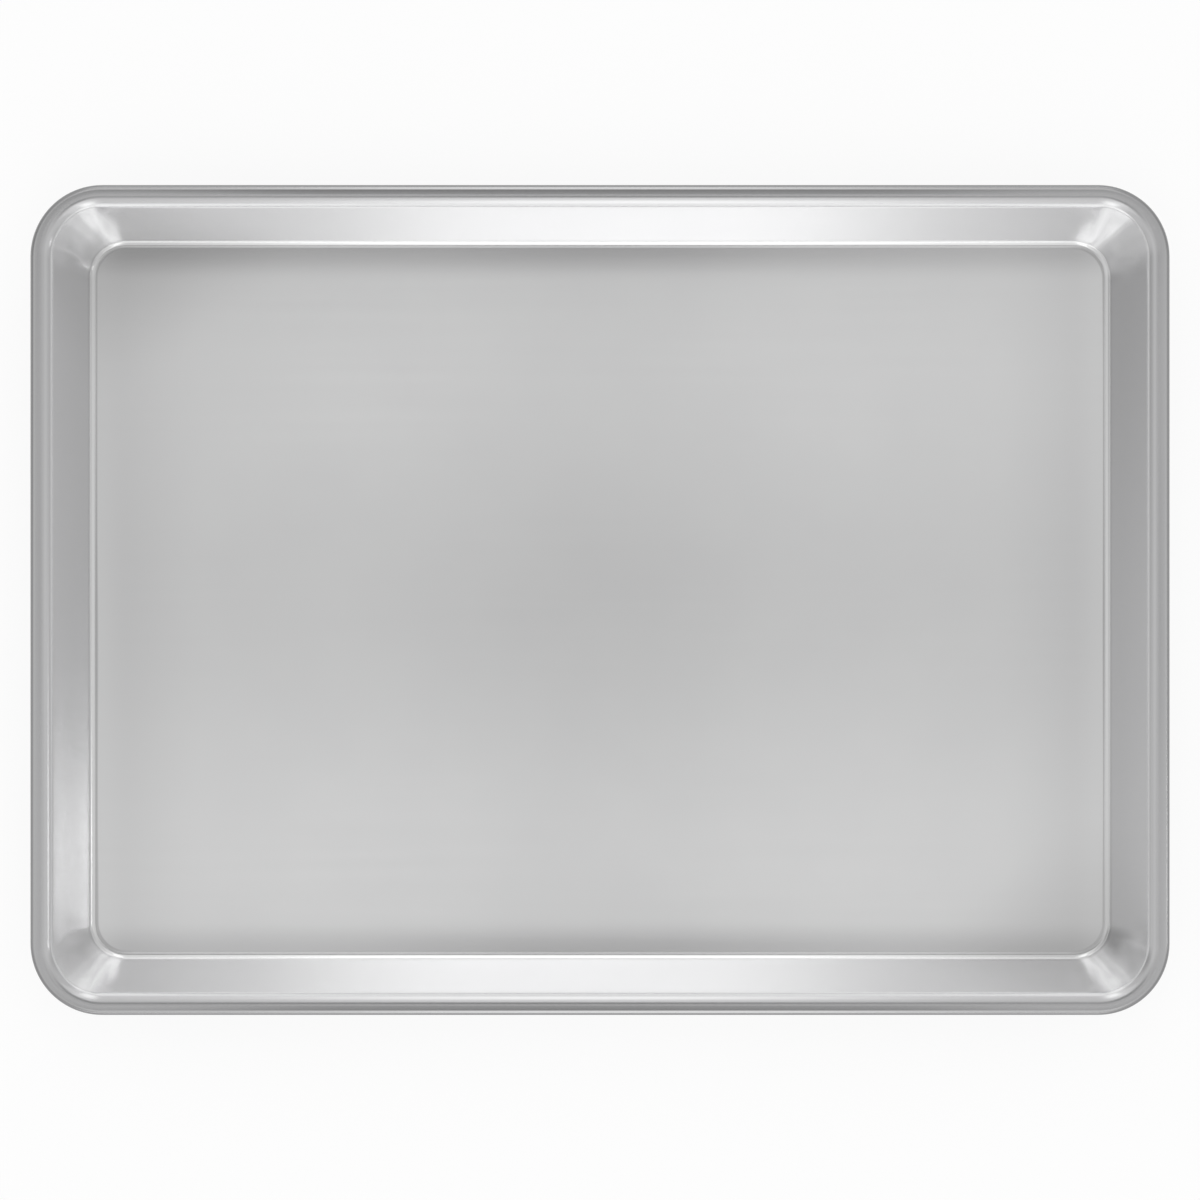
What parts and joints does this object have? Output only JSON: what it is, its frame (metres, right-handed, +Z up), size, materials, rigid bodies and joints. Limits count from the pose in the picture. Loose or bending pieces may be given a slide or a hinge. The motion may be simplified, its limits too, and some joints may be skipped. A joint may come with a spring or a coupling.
{
  "type": "cookie sheet",
  "caption": "Shallow rectangular baking pan with a flat floor, sloping walls, rounded corners and a rim rolled round a stiffening wire.",
  "frame": {"origin": "middle of the flat underside, on the surface that the pan stands on", "axes": "+X along the long sides, +Y across the pan, +Z up out of the well"},
  "size_m": [0.457, 0.333, 0.0254],
  "materials": {
    "aluminium_sheet": "satin rolled sheet",
    "galvanised_wire": "galvanised"
  },
  "bodies": {
    "root": {"pan_shell": "aluminium_sheet", "rim_wire": "galvanised_wire"}
  },
  "joints": []
}
